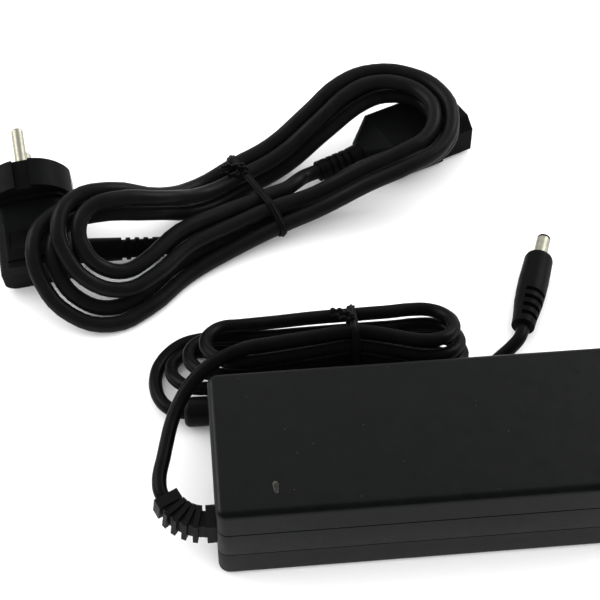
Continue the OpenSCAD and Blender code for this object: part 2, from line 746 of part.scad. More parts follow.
module dc_strain_relief() {
    step = relief_sweep / (relief_fins + 1);
    color(cord_black) {
        // collar inside the wall, neck through it and inner block
        translate([left_end + wall + 0.1, dc_exit_y - collar.y / 2, dc_exit_height - relief_side / 2])
            cube([collar.x, collar.y, relief_side]);
        translate([left_end - relief_base, dc_exit_y - relief_side / 2, dc_exit_height - relief_side / 2])
            cube([relief_base + wall + 0.2, relief_side, relief_side]);
        // core round the curve
        for (i = [0 : relief_fins]) hull() for (angle = [i * step, (i + 1) * step])
            at_relief(angle) cube([0.4, relief_core, relief_core], center = true);
        for (i = [1 : relief_fins]) at_relief(i * step)
            cube([fin_thickness, relief_side, relief_side], center = true);
        at_relief(relief_sweep) translate([-0.8, -relief_side / 2 + 0.2, -relief_side / 2 + 0.2])
            cube([relief_tip + 0.8, relief_side - 0.4, relief_side - 0.4]);
    }
}

module dc_cord_lead() {
    color(cord_black) tube(dc_lead_route, dc_d, cord_sides);
}

module dc_cord_hank() {
    color(cord_black) tube(dc_hank_route, dc_d, hank_sides);
}

module dc_cord_tail() {
    color(cord_black) tube(dc_tail_route, dc_d, cord_sides);
}

// Band round the strands that cross a hank's waist, given as [across, height] places
module tie_band(strands, d) {
    translate([-tie_width / 2, 0, 0]) along_x() linear_extrude(tie_width) difference() {
        hull() for (s = strands) translate(s) circle(d = d + 2 * tie_gap + 2 * tie_thickness, $fn = 16);
        hull() for (s = strands) translate(s) circle(d = d + 2 * tie_gap, $fn = 16);
    }
}

// The tie's two ends, twisted together and laid over
module tie_twist(length) {
    linear_extrude(length, twist = 540, slices = 12) for (i = [-1, 1])
        translate([i * 0.6, 0]) circle(0.65, $fn = 6);
}

// Places where the strands cross the two waists, across and up. The DC strands cross the tie at a
// slant, so they are taken at both of its edges.
dc_tie_strands = [for (t = [0 : 0.5 : 3.5], edge = [-0.006, 0.006])
    let (p = dc_leaning(t + edge)) [p.y, p.z + dc_rise]];
mains_tie_strands = [for (t = [0 : 0.5 : 4]) let (p = mains_local(t)) [p.y, p.z]];
function tie_top(strands, d) = max([for (s = strands) s.y]) + d / 2 + tie_gap + tie_thickness / 2;

module dc_tie() {
    color(cord_black) {
        translate([dc_waist.x, 0, 0]) tie_band(dc_tie_strands, dc_d);
        translate([dc_waist.x + 0.5, dc_waist.y + 5, tie_top(dc_tie_strands, dc_d)])
            rotate([0, -76, -12]) tie_twist(9);
    }
}

module mains_tie() {
    color(cord_black) translate([mains_waist.x, mains_waist.y, 0]) rotate([0, 0, mains_heading]) {
        tie_band(mains_tie_strands, mains_d);
        translate([0.5, 8, tie_top(mains_tie_strands, mains_d)]) rotate([0, -70, -20]) tie_twist(10);
    }
}

module ferrite_bead() {
    bore = dc_cord_diameter + 0.6;
    round_end = 2;
    r = bead_diameter / 2;
    color([0.13, 0.13, 0.14]) translate(bead_place) rotate([0, 90, 0]) rotate_extrude() difference() {
        union() {
            square([r - round_end, bead_length]);
            translate([0, round_end]) square([r, bead_length - 2 * round_end]);
            for (z = [round_end, bead_length - round_end]) translate([r - round_end, z]) circle(round_end);
        }
        translate([-bore / 2, -1]) square([bore, bead_length + 2]);
    }
}

module at_dc_plug() {
    translate(dc_plug_back) rotate([0, 0, dc_plug_heading]) rotate([0, 90, 0]) children();
}

module dc_plug_grip() {
    r = grip_diameter / 2;
    tail = 4.5;              // radius at the back
    slot = 1.8;
    edge = 2;                // radius of the front shoulder
    nose = r - 0.3;
    color(cord_black) at_dc_plug() difference() {
        rotate_extrude() polygon(concat(
            [[0, 0], [tail, 0], [tail + 0.3, 5], [5.6, 12], [r - 0.1, 18], [r, 24], [nose, grip_length - edge]],
            [for (a = [30, 60, 90]) [nose - edge + edge * cos(a), grip_length - edge + edge * sin(a)]],
            [[0, grip_length]]));
        // open slots that let the back of the grip bend, on both flanks
        for (i = [0 : 3], side = [0, 180]) translate([0, 0, 2.8 + 3.9 * i]) rotate([0, 0, side - 20])
            rotate_extrude(angle = 120) translate([3.4, 0]) square([4, slot]);
        translate([0, 0, grip_length - 6]) cylinder(h = 7, d = barrel_diameter - 0.5);
    }
}

module dc_plug_barrel() {
    color(metal) at_dc_plug() difference() {
        translate([0, 0, grip_length - 5.9]) cylinder(h = barrel_length + 5.9 - 1.1, d = barrel_diameter - 0.6);
        translate([0, 0, grip_length - 7]) cylinder(h = barrel_length + 12, d = barrel_diameter - 1.1);
    }
    color(metal) at_dc_plug() difference() {
        translate([0, 0, grip_length + 0.05]) cylinder(h = barrel_length - 1.15, d = barrel_diameter);
        translate([0, 0, grip_length - 1]) cylinder(h = barrel_length + 2, d = barrel_diameter - 1.1);
    }
}

module dc_plug_insulator() {
    color([0.08, 0.08, 0.08]) at_dc_plug() difference() {
        union() {
            translate([0, 0, grip_length - 5.9]) cylinder(h = barrel_length + 5.9 - 1, d = barrel_diameter - 1.2);
            translate([0, 0, grip_length + barrel_length - 1.05]) cylinder(h = 1.05, d = barrel_diameter - 0.1);
        }
        translate([0, 0, grip_length - 7]) cylinder(h = barrel_length + 9, d = barrel_bore + 0.7);
    }
}

module dc_plug_contact() {
    color([0.8, 0.65, 0.3]) at_dc_plug() difference() {
        translate([0, 0, grip_length - 5.9]) cylinder(h = barrel_length + 5.9 - 0.6, d = barrel_bore + 0.6);
        translate([0, 0, grip_length - 4]) cylinder(h = barrel_length + 7, d = barrel_bore);
    }
}

// ---------- mains plug ----------

flange_depth = 13;
groove_depth = 1.6;
body_depth = 43;
body_half = 9;               // half thickness of the grip block behind the flange
grip_block = [29, 2 * body_half, 5]; // its width, thickness and corner radius
pin_tip = 2;                 // length of a pin's round tip
shank_diameter = pin_diameter - 0.4; // of a pin inside the plug
earth_socket = [10, 5.2, 11]; // its distance from the middle, diameter and depth
plug_heading = 6.8;
plug_roll = -4;
// The plug lies on the back edge of its round part and on the lowest edge of its grip block
block_low = sin(abs(plug_roll)) * (grip_block.x / 2 - grip_block.z)
    + cos(plug_roll) * (body_half - grip_block.z) + grip_block.z;
plug_tilt = atan((plug_radius - block_low) / (body_depth - flange_depth));
plug_face = [-142.6, 148.7, plug_radius * cos(plug_tilt) + flange_depth * sin(plug_tilt)];

// The plug's own frame: +Z along the pins, +X towards the lead, -Y upwards
module at_plug() {
    translate(plug_face) rotate([0, 0, plug_heading]) rotate([plug_tilt - 90, 0, 0])
        rotate([0, 0, plug_roll]) children();
}

module mains_plug_body() {
    color(case_black) difference() {
        at_plug() plug_block();
        // socket for the root of the lead's strain relief
        at_neck() rotate([0, 90, 0]) cylinder(h = 20, d = neck_diameter + neck_flare + 0.1);
    }
}

module plug_block() {
    difference() {
        union() {
            // round face part
            translate([0, 0, -flange_depth]) cylinder(h = flange_depth - 1, r = plug_radius);
            translate([0, 0, -1]) cylinder(h = 1, r1 = plug_radius, r2 = plug_radius - 1);
            // recessed step
            translate([0, 0, -flange_depth - groove_depth]) linear_extrude(groove_depth + 0.01)
                round_rect(31, 2 * body_half + 4, 6);
            // grip block
            translate([0, 0, -body_depth]) linear_extrude(body_depth - flange_depth - groove_depth)
                round_rect(grip_block.x, grip_block.y, grip_block.z);
            // raised, dished pads for the fingers
            for (s = [-1, 1]) translate([0, s * (body_half - 0.4), -body_depth + 3]) linear_extrude(17)
                round_rect(22, 2.2, 1);
        }
        // guide grooves in the round part, in line with the pins
        for (s = [-1, 1]) translate([0, s * plug_radius, -flange_depth - 1]) linear_extrude(flange_depth + 2)
            square([6.4, 5], center = true);
        // slots for the earth clips
        for (s = [-1, 1]) translate([s * (plug_radius - 0.7), 0, -flange_depth + 3]) linear_extrude(flange_depth)
            square([3.2, 8.4], center = true);
        // holes that hold the pins
        for (s = [-1, 1]) translate([0, s * pin_spacing / 2, -8]) cylinder(h = 9, d = shank_diameter + 0.1);
        // earth socket
        translate([-earth_socket.x, 0, -earth_socket.z]) cylinder(h = earth_socket.z + 1, d = earth_socket.y);
        // hollow of the dished pads
        for (s = [-1, 1]) translate([0, s * (body_half + 14.5), -body_depth + 11.5]) rotate([0, 90, 0])
            cylinder(h = 18, r = 14.4, center = true);
    }
}

module mains_plug_pins() {
    color(metal) at_plug() for (s = [-1, 1]) translate([0, s * pin_spacing / 2, 0]) {
        translate([0, 0, -7.9]) cylinder(h = 8, d = shank_diameter);
        translate([0, 0, 0.05]) cylinder(h = pin_length - pin_tip - 0.05, d = pin_diameter);
        translate([0, 0, pin_length - pin_tip]) intersection() {
            cylinder(h = pin_tip, d = pin_diameter);
            translate([0, 0, -0.6]) sphere(r = pin_tip + 0.6);
        }
    }
}

module mains_plug_earth_clips() {
    color(metal) at_plug() for (s = [-1, 1]) translate([s * (plug_radius - 1.1), 0, -flange_depth + 3.1])
        linear_extrude(flange_depth - 3.4) square([1.2, 6], center = true);
}

module at_neck() {
    translate(neck_start) rotate([0, 0, atan2(neck_way.y, neck_way.x)]) rotate([0, -asin(neck_way.z), 0])
        children();
}

neck_flare = 1.2;            // how much wider a neck's root is

// Ribbed neck along +X of its own frame, from its thick end to the lead
module ribbed_neck(length, plain, ribs, d, core) {
    rib = 1.6;
    gap = (length - plain - 2.5 - ribs * rib) / ribs;
    rotate([0, 90, 0]) {
        cylinder(h = plain, d1 = d + neck_flare, d2 = d);
        translate([0, 0, plain - 0.01]) cylinder(h = length - plain, d = core);
        for (i = [1 : ribs]) translate([0, 0, plain + i * gap + (i - 1) * rib]) cylinder(h = rib, d = d - 0.2 * i);
        translate([0, 0, length - 2.5]) cylinder(h = 2.5, d = d - 1);
    }
}

module mains_plug_relief() {
    color(cord_black) at_neck() ribbed_neck(norm(neck_end - neck_start), 22, 4, neck_diameter, 7.4);
}

module mains_cord_start() {
    color(cord_black) tube(mains_start_route, mains_d, cord_sides);
}

module mains_cord_hank() {
    color(cord_black) tube(mains_hank_route, mains_d, hank_sides);
}

module mains_cord_end() {
    color(cord_black) tube(mains_end_route, mains_d, cord_sides);
}

// ---------- connector ----------

module at_connector() {
    translate(mains_flat(connector_back)) rotate([0, 0, mains_heading + connector_lean]) children();
}

front_length = 15;
front_size = [24, 15.8];
taper_length = 10;

module connector_body() {
    color(case_black) at_connector() difference() {
        union() {
            hull() {
                along_x() linear_extrude(0.5) round_rect(12, 11, 4);
                translate([taper_length, 0, 0]) along_x() linear_extrude(0.5)
                    round_rect(connector_width, connector_height, 3);
            }
            translate([taper_length, 0, 0]) along_x()
                linear_extrude(connector_length - taper_length - front_length)
                    round_rect(connector_width, connector_height, 3);
            translate([connector_length - front_length - 0.01, 0, 0]) along_x()
                linear_extrude(front_length) inlet_outline(front_size.x, front_size.y, 4.6);
        }
        for (b = blade_places) translate([connector_length - 17, b.x, b.y]) along_x()
            linear_extrude(18) square([2.6, 4.6], center = true);
    }
}

module connector_contacts() {
    color(copper) at_connector() for (b = blade_places)
        translate([connector_length - 16.9, b.x, b.y]) along_x() difference() {
            linear_extrude(12) square([2.5, 4.5], center = true);
            translate([0, 0, 1]) linear_extrude(14) square([2, 3.9], center = true);
        }
}

module connector_relief() {
    color(cord_black) at_connector() rotate([0, 0, 180]) ribbed_neck(connector_neck, 5, 4, 9.6, 7.4);
}

top_shell();
bottom_shell();
light_window();
status_led();
circuit_board();
insulation_sheet();
heat_spreader();
transformer_core();
transformer_winding();
filter_inductor();
bulk_capacitor();
x_capacitor();
choke_core();
choke_windings();
bridge_rectifier();
primary_heatsink();
power_transistor();
secondary_heatsink();
output_rectifier();
output_capacitors();
y_capacitors();
optocoupler();
control_chip();
fuse();
inlet_body();
inlet_blades();
inlet_wires();
output_wires();
dc_strain_relief();
dc_cord_lead();
dc_cord_hank();
dc_cord_tail();
dc_tie();
ferrite_bead();
dc_plug_grip();
dc_plug_barrel();
dc_plug_insulator();
dc_plug_contact();
mains_plug_body();
mains_plug_pins();
mains_plug_earth_clips();
mains_plug_relief();
mains_cord_start();
mains_cord_hank();
mains_cord_end();
mains_tie();
connector_body();
connector_contacts();
connector_relief();
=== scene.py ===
"""Laptop power adapter: the looks of the brick, its two tied leads and their plugs.

Lengths are written in millimetres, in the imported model's own frame, and turned into metres
where a mesh or a curve is made.
"""

import json
import math

import bmesh
import bpy
from mathutils import Matrix, Vector


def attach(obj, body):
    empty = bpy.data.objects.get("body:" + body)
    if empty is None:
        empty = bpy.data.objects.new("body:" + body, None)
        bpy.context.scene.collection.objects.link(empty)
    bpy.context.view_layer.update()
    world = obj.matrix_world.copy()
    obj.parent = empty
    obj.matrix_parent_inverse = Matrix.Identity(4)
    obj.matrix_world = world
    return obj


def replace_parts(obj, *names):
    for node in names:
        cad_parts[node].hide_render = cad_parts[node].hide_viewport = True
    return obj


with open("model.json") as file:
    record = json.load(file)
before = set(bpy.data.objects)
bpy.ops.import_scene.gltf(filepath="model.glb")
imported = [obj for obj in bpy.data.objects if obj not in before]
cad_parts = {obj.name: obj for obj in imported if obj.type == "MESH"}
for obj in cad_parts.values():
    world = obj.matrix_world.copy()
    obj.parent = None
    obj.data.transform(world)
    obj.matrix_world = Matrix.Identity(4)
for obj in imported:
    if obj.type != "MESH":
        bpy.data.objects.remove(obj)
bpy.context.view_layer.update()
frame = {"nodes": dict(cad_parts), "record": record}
MM = 0.001
ADAPTER = "adapter"
MAINS_LEAD = "mains_lead"

# ---------- driving sizes, the same as in the CAD model ----------

BRICK = Vector((150.0, 61.0, 35.0))
WALL = 2.2
PARTING = 12.0
CORNER = 4.0
EDGE = 2.6
SEAM_GAP = 0.06  # each shell's share of the gap between the two
SEAM_CHAMFER = 0.25
SCORE = 23.5
SCORE_HALF_WIDTH = 0.28
SCORE_DEPTH = 0.22
LIGHT = Vector((-54.5, -20.2))
LIGHT_SIZE = (2.0, 5.0)
RELIEF_SIDE = 9.2
INLET_SIZE = (28.4, 20.2)
INLET_MID = 17.5
DC_D = 5.1
MAINS_D = 6.2

# ---------- camera ----------

AIM = Vector((-36.2, 93.0, 0.0))
CAMERA_DISTANCE = 608.0
CAMERA_ELEVATION = math.radians(48.0)
CAMERA_HEADING = math.radians(5.2)
LENS = 92.1


def make_camera():
    back = Vector((
        -math.sin(CAMERA_HEADING) * math.cos(CAMERA_ELEVATION),
        -math.cos(CAMERA_HEADING) * math.cos(CAMERA_ELEVATION),
        math.sin(CAMERA_ELEVATION),
    ))
    data = bpy.data.cameras.new("camera")
    data.lens = LENS
    data.sensor_width = 36.0
    data.clip_start = 0.01
    data.clip_end = 20.0
    camera = bpy.data.objects.new("camera", data)
    camera.location = (AIM + back * CAMERA_DISTANCE) * MM
    camera.rotation_mode = "QUATERNION"
    camera.rotation_quaternion = (-back).to_track_quat("-Z", "Y")
    bpy.context.collection.objects.link(camera)
    bpy.context.scene.camera = camera


make_camera()

# ---------- curves along which the leads run ----------


def ease(x):
    """Smooth step from 0 to 1."""
    u = min(max(x, 0.0), 1.0)
    return u * u * (3 - 2 * u)


def cosd(a):
    return math.cos(math.radians(a))


def sind(a):
    return math.sin(math.radians(a))


def loop_xy(t, r, w, left, right, soft):
    """Place along a hank loop whose runs draw in at the waist."""
    turn = t + 0.125
    phase = (turn - math.floor(turn)) * 360 - 45
    a = right if 0 <= phase < 180 else left
    lean = math.degrees(math.asin(r / math.hypot(a - soft, w)) - math.atan2(w, a - soft))
    end = a - r * sind(lean)
    if phase < 45:
        f = abs(phase) / 45
    else:
        f = (180 - phase) / 45 if phase < 180 else (phase - 180) / 45
    run = w + math.tan(math.radians(lean)) * (math.hypot(end * f, soft) - soft)
    if phase < 0:
        return -end * f, -run
    if phase < 45:
        return end * f, -run
    if phase < 135:
        s = (phase - 90) / 45 * (90 + lean)
        return a + r * cosd(s), r * sind(s)
    if phase < 180:
        return end * f, run
    if phase < 225:
        return -end * f, run
    s = (phase - 270) / 45 * (90 + lean)
    return -a - r * cosd(s), -r * sind(s)


TIE_GAP = 0.35
TIE_THICKNESS = 1.0
WAIST_LIFT = TIE_GAP + TIE_THICKNESS + 0.05
RINGS_PER_LOOP = 24

DC_WAIST = (-20.0, 49.8)
DC_TILT = 18.0
DC_TURN = 3.6
DC_FOLD = 11.4
DC_HALF_WAIST = 5.8
DC_LAYER = 6.2
DC_SOFT = 3.0
DC_FAN = 0.14
DC_RIGHT_TIPS = (37, 39, 40.5, 37)
DC_LEFT_TIPS = (54.5, 61, 68, 69)
DC_LAYER_SHIFT = (1, 0.5, -1, -0.5)
DC_LAST_OUT = 6.6
DC_LOOPS = (-1 / 12, 3 + 7 / 12)


def dc_leaning(t):
    """Place along the DC hank, which leans on the brick, before it is set down on the floor."""
    right = DC_RIGHT_TIPS[min(max(math.floor(t), 0), 3)] - DC_FOLD
    left = DC_LEFT_TIPS[min(max(math.floor(t - 0.5), 0), 3)] - DC_FOLD
    x, y = loop_xy(t, DC_FOLD, DC_HALF_WAIST, left, right, DC_SOFT)
    i = math.floor(max(t, 0))
    f = max(t, 0) - i
    over = max(3 - i, 0)
    if 0.375 <= f < 0.625:
        sunk = ease((1 - x) / 52)
    else:
        sunk = 0 if f < 0.5 else 1
    k = over - (sunk if over > 0 else 0)
    low = min(math.floor(k), 2)
    shift = DC_LAYER_SHIFT[low] + (DC_LAYER_SHIFT[low + 1] - DC_LAYER_SHIFT[low]) * (k - low)
    y = y * (1 + DC_FAN * ease(-x / 40)) + shift
    z = DC_D / 2 + DC_LAYER * k + WAIST_LIFT * (1 - ease(abs(x) / 25))
    out = DC_LAST_OUT * ease((4 - x) / 26) if t > 3.3 else 0
    return Vector((
        DC_WAIST[0] + x,
        DC_WAIST[1] - x * sind(DC_TURN) + out + y * cosd(DC_TILT) + z * sind(DC_TILT),
        z * cosd(DC_TILT) - y * sind(DC_TILT),
    ))


MAINS_WAIST = (-50.5, 144.5)
MAINS_HEADING = 26.0
MAINS_FOLD = 15.0
MAINS_HALF_WAIST = 6.0
MAINS_STEP = 7.3
MAINS_LAYER = 8.2
MAINS_SOFT = 8.0
MAINS_LEFT = 68.5
MAINS_RIGHT = 66.0
MAINS_DRAW_LEFT = 8.0
MAINS_DRAW_RIGHT = 6.0
MAINS_RISE_LEFT = 24.8
MAINS_RAMP_LEFT = 50.0
MAINS_RAMP_STEP = 10.0
MAINS_SWAY = (3.5, 7.2)
MAINS_RISE_RIGHT = 19.4
MAINS_BOW = 5.0
MAINS_BOW_LEFT = 2.8
MAINS_DRAW_IN = (7.0, 7.5)


def mains_flat(p):
    """A place in the mains hank's own frame, x along it, as a place in the row frame."""
    c, s = cosd(MAINS_HEADING), sind(MAINS_HEADING)
    x, y, z = p
    return Vector((MAINS_WAIST[0] + x * c - y * s, MAINS_WAIST[1] + x * s + y * c, z))


def mains_local(t):
    """Place along the mains hank in its own frame: two loops below, two above."""
    out = t if t < 2 else 4 - t
    climb = ease((t - 1.9) / 0.2)
    x, y = loop_xy(
        t,
        MAINS_FOLD + MAINS_STEP * out,
        MAINS_HALF_WAIST + MAINS_STEP * out,
        MAINS_LEFT - MAINS_DRAW_LEFT * climb,
        MAINS_RIGHT - MAINS_DRAW_RIGHT * climb,
        MAINS_SOFT,
    )
    over_plug = ease((-x - 2 - MAINS_RAMP_STEP * out) / MAINS_RAMP_LEFT) * ease((y + 28) / 50)
    draw_in = MAINS_DRAW_IN[0] if y < 0 else -MAINS_DRAW_IN[1]
    drawn = ease((-x - 6) / 26) * ease((x + 88) / 50) * draw_in
    if x < 0:
        rise = MAINS_RISE_LEFT * over_plug
    else:
        rise = MAINS_RISE_RIGHT * ease((x - 6) / 56) * (0.75 + 0.25 * min(max((y + 32) / 20, 0), 1))
    z = MAINS_D / 2 + MAINS_LAYER * climb + WAIST_LIFT * (1 - ease(abs(x) / 30)) + rise
    return Vector((
        x - MAINS_SWAY[0] * over_plug,
        y + drawn - MAINS_SWAY[1] * over_plug
        - MAINS_BOW * ease(x / 60) - MAINS_BOW_LEFT * ease(-x / 60),
        z,
    ))


def with_straight_ends(points, d):
    """The points, with one more at each end, a diameter further on."""
    first = points[0] + (points[0] - points[1]).normalized() * d
    last = points[-1] + (points[-1] - points[-2]).normalized() * d
    return [first, *points, last]


def vectors(rows):
    return [Vector(row) for row in rows]


DC_EXIT = Vector((-75.0, -20.6, 17.0))
RELIEF_BASE = 3.2
RELIEF_ARC = 13.8
RELIEF_SWEEP = 62.0
RELIEF_RISE = 1.7
RELIEF_TIP = 3.0


def relief_point(angle):
    """Place on the strain relief's bent middle line."""
    return DC_EXIT + Vector((
        -RELIEF_BASE - RELIEF_ARC * sind(angle),
        RELIEF_ARC * (1 - cosd(angle)),
        RELIEF_RISE * (angle / RELIEF_SWEEP) ** 2,
    ))


def relief_way(angle):
    """Direction of that line at the same place."""
    climb = 2 * RELIEF_RISE * angle / RELIEF_SWEEP / (RELIEF_ARC * math.radians(RELIEF_SWEEP))
    return Vector((-cosd(angle), sind(angle), climb)).normalized()


RELIEF_END = relief_point(RELIEF_SWEEP) + RELIEF_TIP * relief_way(RELIEF_SWEEP)
DC_LEAD_POINTS = vectors([
    (-93.4, -4, 20), (-92.9, 0.5, 20.1), (-91.8, 5, 20.3), (-90.2, 12.5, 20.6),
    (-88.3, 20, 21.2), (-85.6, 27, 22.2), (-81.8, 33.2, 23.8), (-76.8, 38.3, 25.6),
    (-70.6, 42.3, 27.2), (-63.4, 45, 28.3),
])
DC_TAIL_POINTS = vectors([
    (-72.8, 73.6, 2.9), (-78.2, 73.4, 2.7), (-83.5, 71.7, 2.7), (-88.4, 67.9, 2.7),
    (-92.2, 62.4, 2.9), (-94, 55.8, 3.4), (-94, 49.5, 4), (-92.6, 44, 4.6),
    (-90, 39.8, 5.2), (-86.6, 37.3, 5.5), (-83, 36.6, 5.5), (-71, 36.6, 5.5),
    (-57, 36.6, 5.5), (-54, 36.5, 5.4), (-46, 36.1, 4.8), (-38, 35.4, 3.7),
    (-28, 34.6, 2.7), (-18, 34.4, 2.6), (-4, 34.5, 2.6), (8, 34.6, 2.6),
    (17, 37.2, 2.6), (24, 42.4, 2.6), (30.6, 48.8, 2.7), (37, 54.2, 3.4),
    (42.4, 58, 5),
])
DC_PLUG_BACK = Vector((47.5, 66.2, 6.0))
DC_PLUG_HEADING = 69.3
DC_PLUG_WAY = Vector((cosd(DC_PLUG_HEADING), sind(DC_PLUG_HEADING), 0))

NECK_START = Vector((-127.5, 118.5, 9.8))
NECK_END = Vector((-89, 121.5, 5.9))
NECK_WAY = (NECK_END - NECK_START).normalized()
MAINS_START_POINTS = vectors([(-77, 125.6, 4.7), (-70, 129.2, 4.4)])
CONNECTOR_BACK = mains_flat((50, -2.5, 9.5))
CONNECTOR_TURN = MAINS_HEADING - 2.3
CONNECTOR_NECK = 20.0
CONNECTOR_LENGTH = 49.0
CONNECTOR_WAY = Vector((cosd(CONNECTOR_TURN), sind(CONNECTOR_TURN), 0))
MAINS_END_POINTS = [mains_flat((17.6, -4.3, 11.6))]


def dc_hank():
    start, end = DC_LOOPS
    count = round((end - start) * RINGS_PER_LOOP)
    rings = [dc_leaning(start + (end - start) * i / count) for i in range(count + 1)]
    return with_straight_ends(rings, DC_D)


DC_RISE = DC_D / 2 + 0.45 - min(p.z for p in dc_hank())  # puts the hank's lowest run on the floor


def dc_route():
    hank = [p + Vector((0, 0, DC_RISE)) for p in dc_hank()]
    way_out = relief_way(RELIEF_SWEEP)
    start = [RELIEF_END - 2 * way_out, RELIEF_END + DC_D / 2 * way_out]
    lead_in = hank[0] - DC_D * (hank[1] - hank[0]).normalized()
    lead_out = hank[-1] + DC_D * (hank[-1] - hank[-2]).normalized()
    end = [DC_PLUG_BACK - DC_D * DC_PLUG_WAY, DC_PLUG_BACK + 1.5 * DC_PLUG_WAY]
    return start + DC_LEAD_POINTS + [lead_in] + hank + [lead_out] + DC_TAIL_POINTS + end


def mains_route():
    count = 4 * RINGS_PER_LOOP
    rings = [mains_flat(mains_local(4 * i / count)) for i in range(count + 1)]
    hank = with_straight_ends(rings, MAINS_D)
    start = [NECK_END - 2 * NECK_WAY, NECK_END + MAINS_D * NECK_WAY]
    lead_in = hank[0] - MAINS_D * (hank[1] - hank[0]).normalized()
    lead_out = hank[-1] + MAINS_D * (hank[-1] - hank[-2]).normalized()
    neck_end = CONNECTOR_BACK - CONNECTOR_NECK * CONNECTOR_WAY
    end = [neck_end - MAINS_D * CONNECTOR_WAY, neck_end + 2 * CONNECTOR_WAY]
    return start + MAINS_START_POINTS + [lead_in] + hank + [lead_out] + MAINS_END_POINTS + end


# ---------- materials ----------


def set_range(node, numbers):
    for socket, number in zip(("From Min", "From Max", "To Min", "To Max"), numbers):
        node.inputs[socket].default_value = number


class Nodes:
    """Short names for building one material's node tree."""

    def __init__(self, name, slot):
        self.material = bpy.data.materials.new(name)
        self.material.use_nodes = True
        self.tree = self.material.node_tree
        self.tree.nodes.clear()
        self.slot = slot
        self.out = self.add("ShaderNodeOutputMaterial")
        self.shader = self.add("ShaderNodeBsdfPrincipled")
        self.link(self.shader.outputs[0], self.out.inputs["Surface"])
        self.place = self.add("ShaderNodeTexCoord").outputs["Object"]

    def add(self, kind, **values):
        node = self.tree.nodes.new(kind)
        for key, value in values.items():
            setattr(node, key, value)
        return node

    def link(self, a, b):
        self.tree.links.new(a, b)

    def set(self, **values):
        for key, value in values.items():
            self.shader.inputs[key.replace("_", " ")].default_value = value

    def noise(self, scale, detail=2.0, rough=0.5):
        """Noise whose grains are about 1/scale of a metre."""
        node = self.add("ShaderNodeTexNoise")
        self.link(self.place, node.inputs["Vector"])
        node.inputs["Scale"].default_value = scale
        node.inputs["Detail"].default_value = detail
        node.inputs["Roughness"].default_value = rough
        return node.outputs["Fac"]

    def cells(self, scale):
        """Distance from the nearest of a cloud of points about 1/scale of a metre apart."""
        node = self.add("ShaderNodeTexVoronoi")
        self.link(self.place, node.inputs["Vector"])
        node.inputs["Scale"].default_value = scale
        return node.outputs["Distance"]

    def ramp(self, value, low, high, to_low, to_high):
        node = self.add("ShaderNodeMapRange", clamp=True)
        self.link(value, node.inputs["Value"])
        set_range(node, (low, high, to_low, to_high))
        return node.outputs["Result"]

    def mix(self, factor, a, b):
        """Colour a where factor is 0 and b where it is 1. Each is a colour or a socket."""
        node = self.add("ShaderNodeMix", data_type="RGBA")
        self.link(factor, node.inputs["Factor"])
        for socket, value in ((node.inputs[6], a), (node.inputs[7], b)):
            if isinstance(value, tuple):
                socket.default_value = (*value, 1)
            else:
                self.link(value, socket)
        return node.outputs[2]

    def bump(self, height, distance, strength=1.0, under=None):
        node = self.add("ShaderNodeBump")
        self.link(height, node.inputs["Height"])
        node.inputs["Distance"].default_value = distance
        node.inputs["Strength"].default_value = strength
        if under is not None:
            self.link(under, node.inputs["Normal"])
        return node.outputs["Normal"]

    def finish(self, colour=None, rough=None, normal=None):
        for socket, value in (("Base Color", colour), ("Roughness", rough), ("Normal", normal)):
            if value is not None:
                self.link(value, self.shader.inputs[socket])
        return self


def speck_mask(n, scale, size):
    """Few and small dots: 1 on a dot of dust, 0 elsewhere."""
    return n.ramp(n.cells(scale), size * 0.7, size, 1.0, 0.0)


def moulded(name, slot, base, light, rough, grain=1400.0, dust=False, gloss=0.15):
    """Spark-eroded black moulding: fine grain, faint mottling and, where it lies open, dust."""
    n = Nodes(name, slot)
    n.set(Specular_IOR_Level=gloss)
    colour = n.mix(n.ramp(n.noise(90.0, 4.0), 0.3, 0.7, 0.0, 1.0), base, light)
    if dust:
        colour = n.mix(speck_mask(n, 200.0, 0.042), colour, (0.045, 0.043, 0.038))
    roughness = n.ramp(n.noise(240.0, 3.0), 0.3, 0.7, rough - 0.05, rough + 0.06)
    normal = n.bump(n.noise(grain, 3.0, 0.6), 0.00002)
    return n.finish(colour, roughness, normal)


def jacket(name, slot, base, light, rough, gloss=0.14):
    """Extruded cord jacket: satin, with a soft long unevenness."""
    n = Nodes(name, slot)
    n.set(Specular_IOR_Level=gloss)
    colour = n.mix(n.ramp(n.noise(160.0, 3.0), 0.35, 0.7, 0.0, 1.0), base, light)
    roughness = n.ramp(n.noise(300.0, 3.0), 0.3, 0.7, rough - 0.06, rough + 0.08)
    wave = n.bump(n.noise(220.0, 2.0), 0.00006, 0.6)
    normal = n.bump(n.noise(3200.0, 2.0), 0.000008, 0.8, wave)
    return n.finish(colour, roughness, normal)


def plated(name, slot, base, shade, rough):
    """Nickel plate with faint drawing lines and handling marks."""
    n = Nodes(name, slot)
    n.set(Metallic=1.0)
    colour = n.mix(n.ramp(n.noise(500.0, 4.0), 0.35, 0.7, 0.0, 1.0), base, shade)
    roughness = n.ramp(n.noise(900.0, 4.0), 0.3, 0.7, rough - 0.05, rough + 0.07)
    normal = n.bump(n.noise(2500.0, 2.0), 0.000003)
    return n.finish(colour, roughness, normal)


def plain(name, slot, base, light, rough, metallic=0.0):
    """Inner parts: two close shades and an uneven sheen."""
    n = Nodes(name, slot)
    n.set(Metallic=metallic)
    colour = n.mix(n.ramp(n.noise(400.0, 3.0), 0.35, 0.7, 0.0, 1.0), base, light)
    roughness = n.ramp(n.noise(800.0, 3.0), 0.3, 0.7, rough - 0.06, rough + 0.08)
    normal = n.bump(n.noise(1600.0, 2.0), 0.00001)
    return n.finish(colour, roughness, normal)


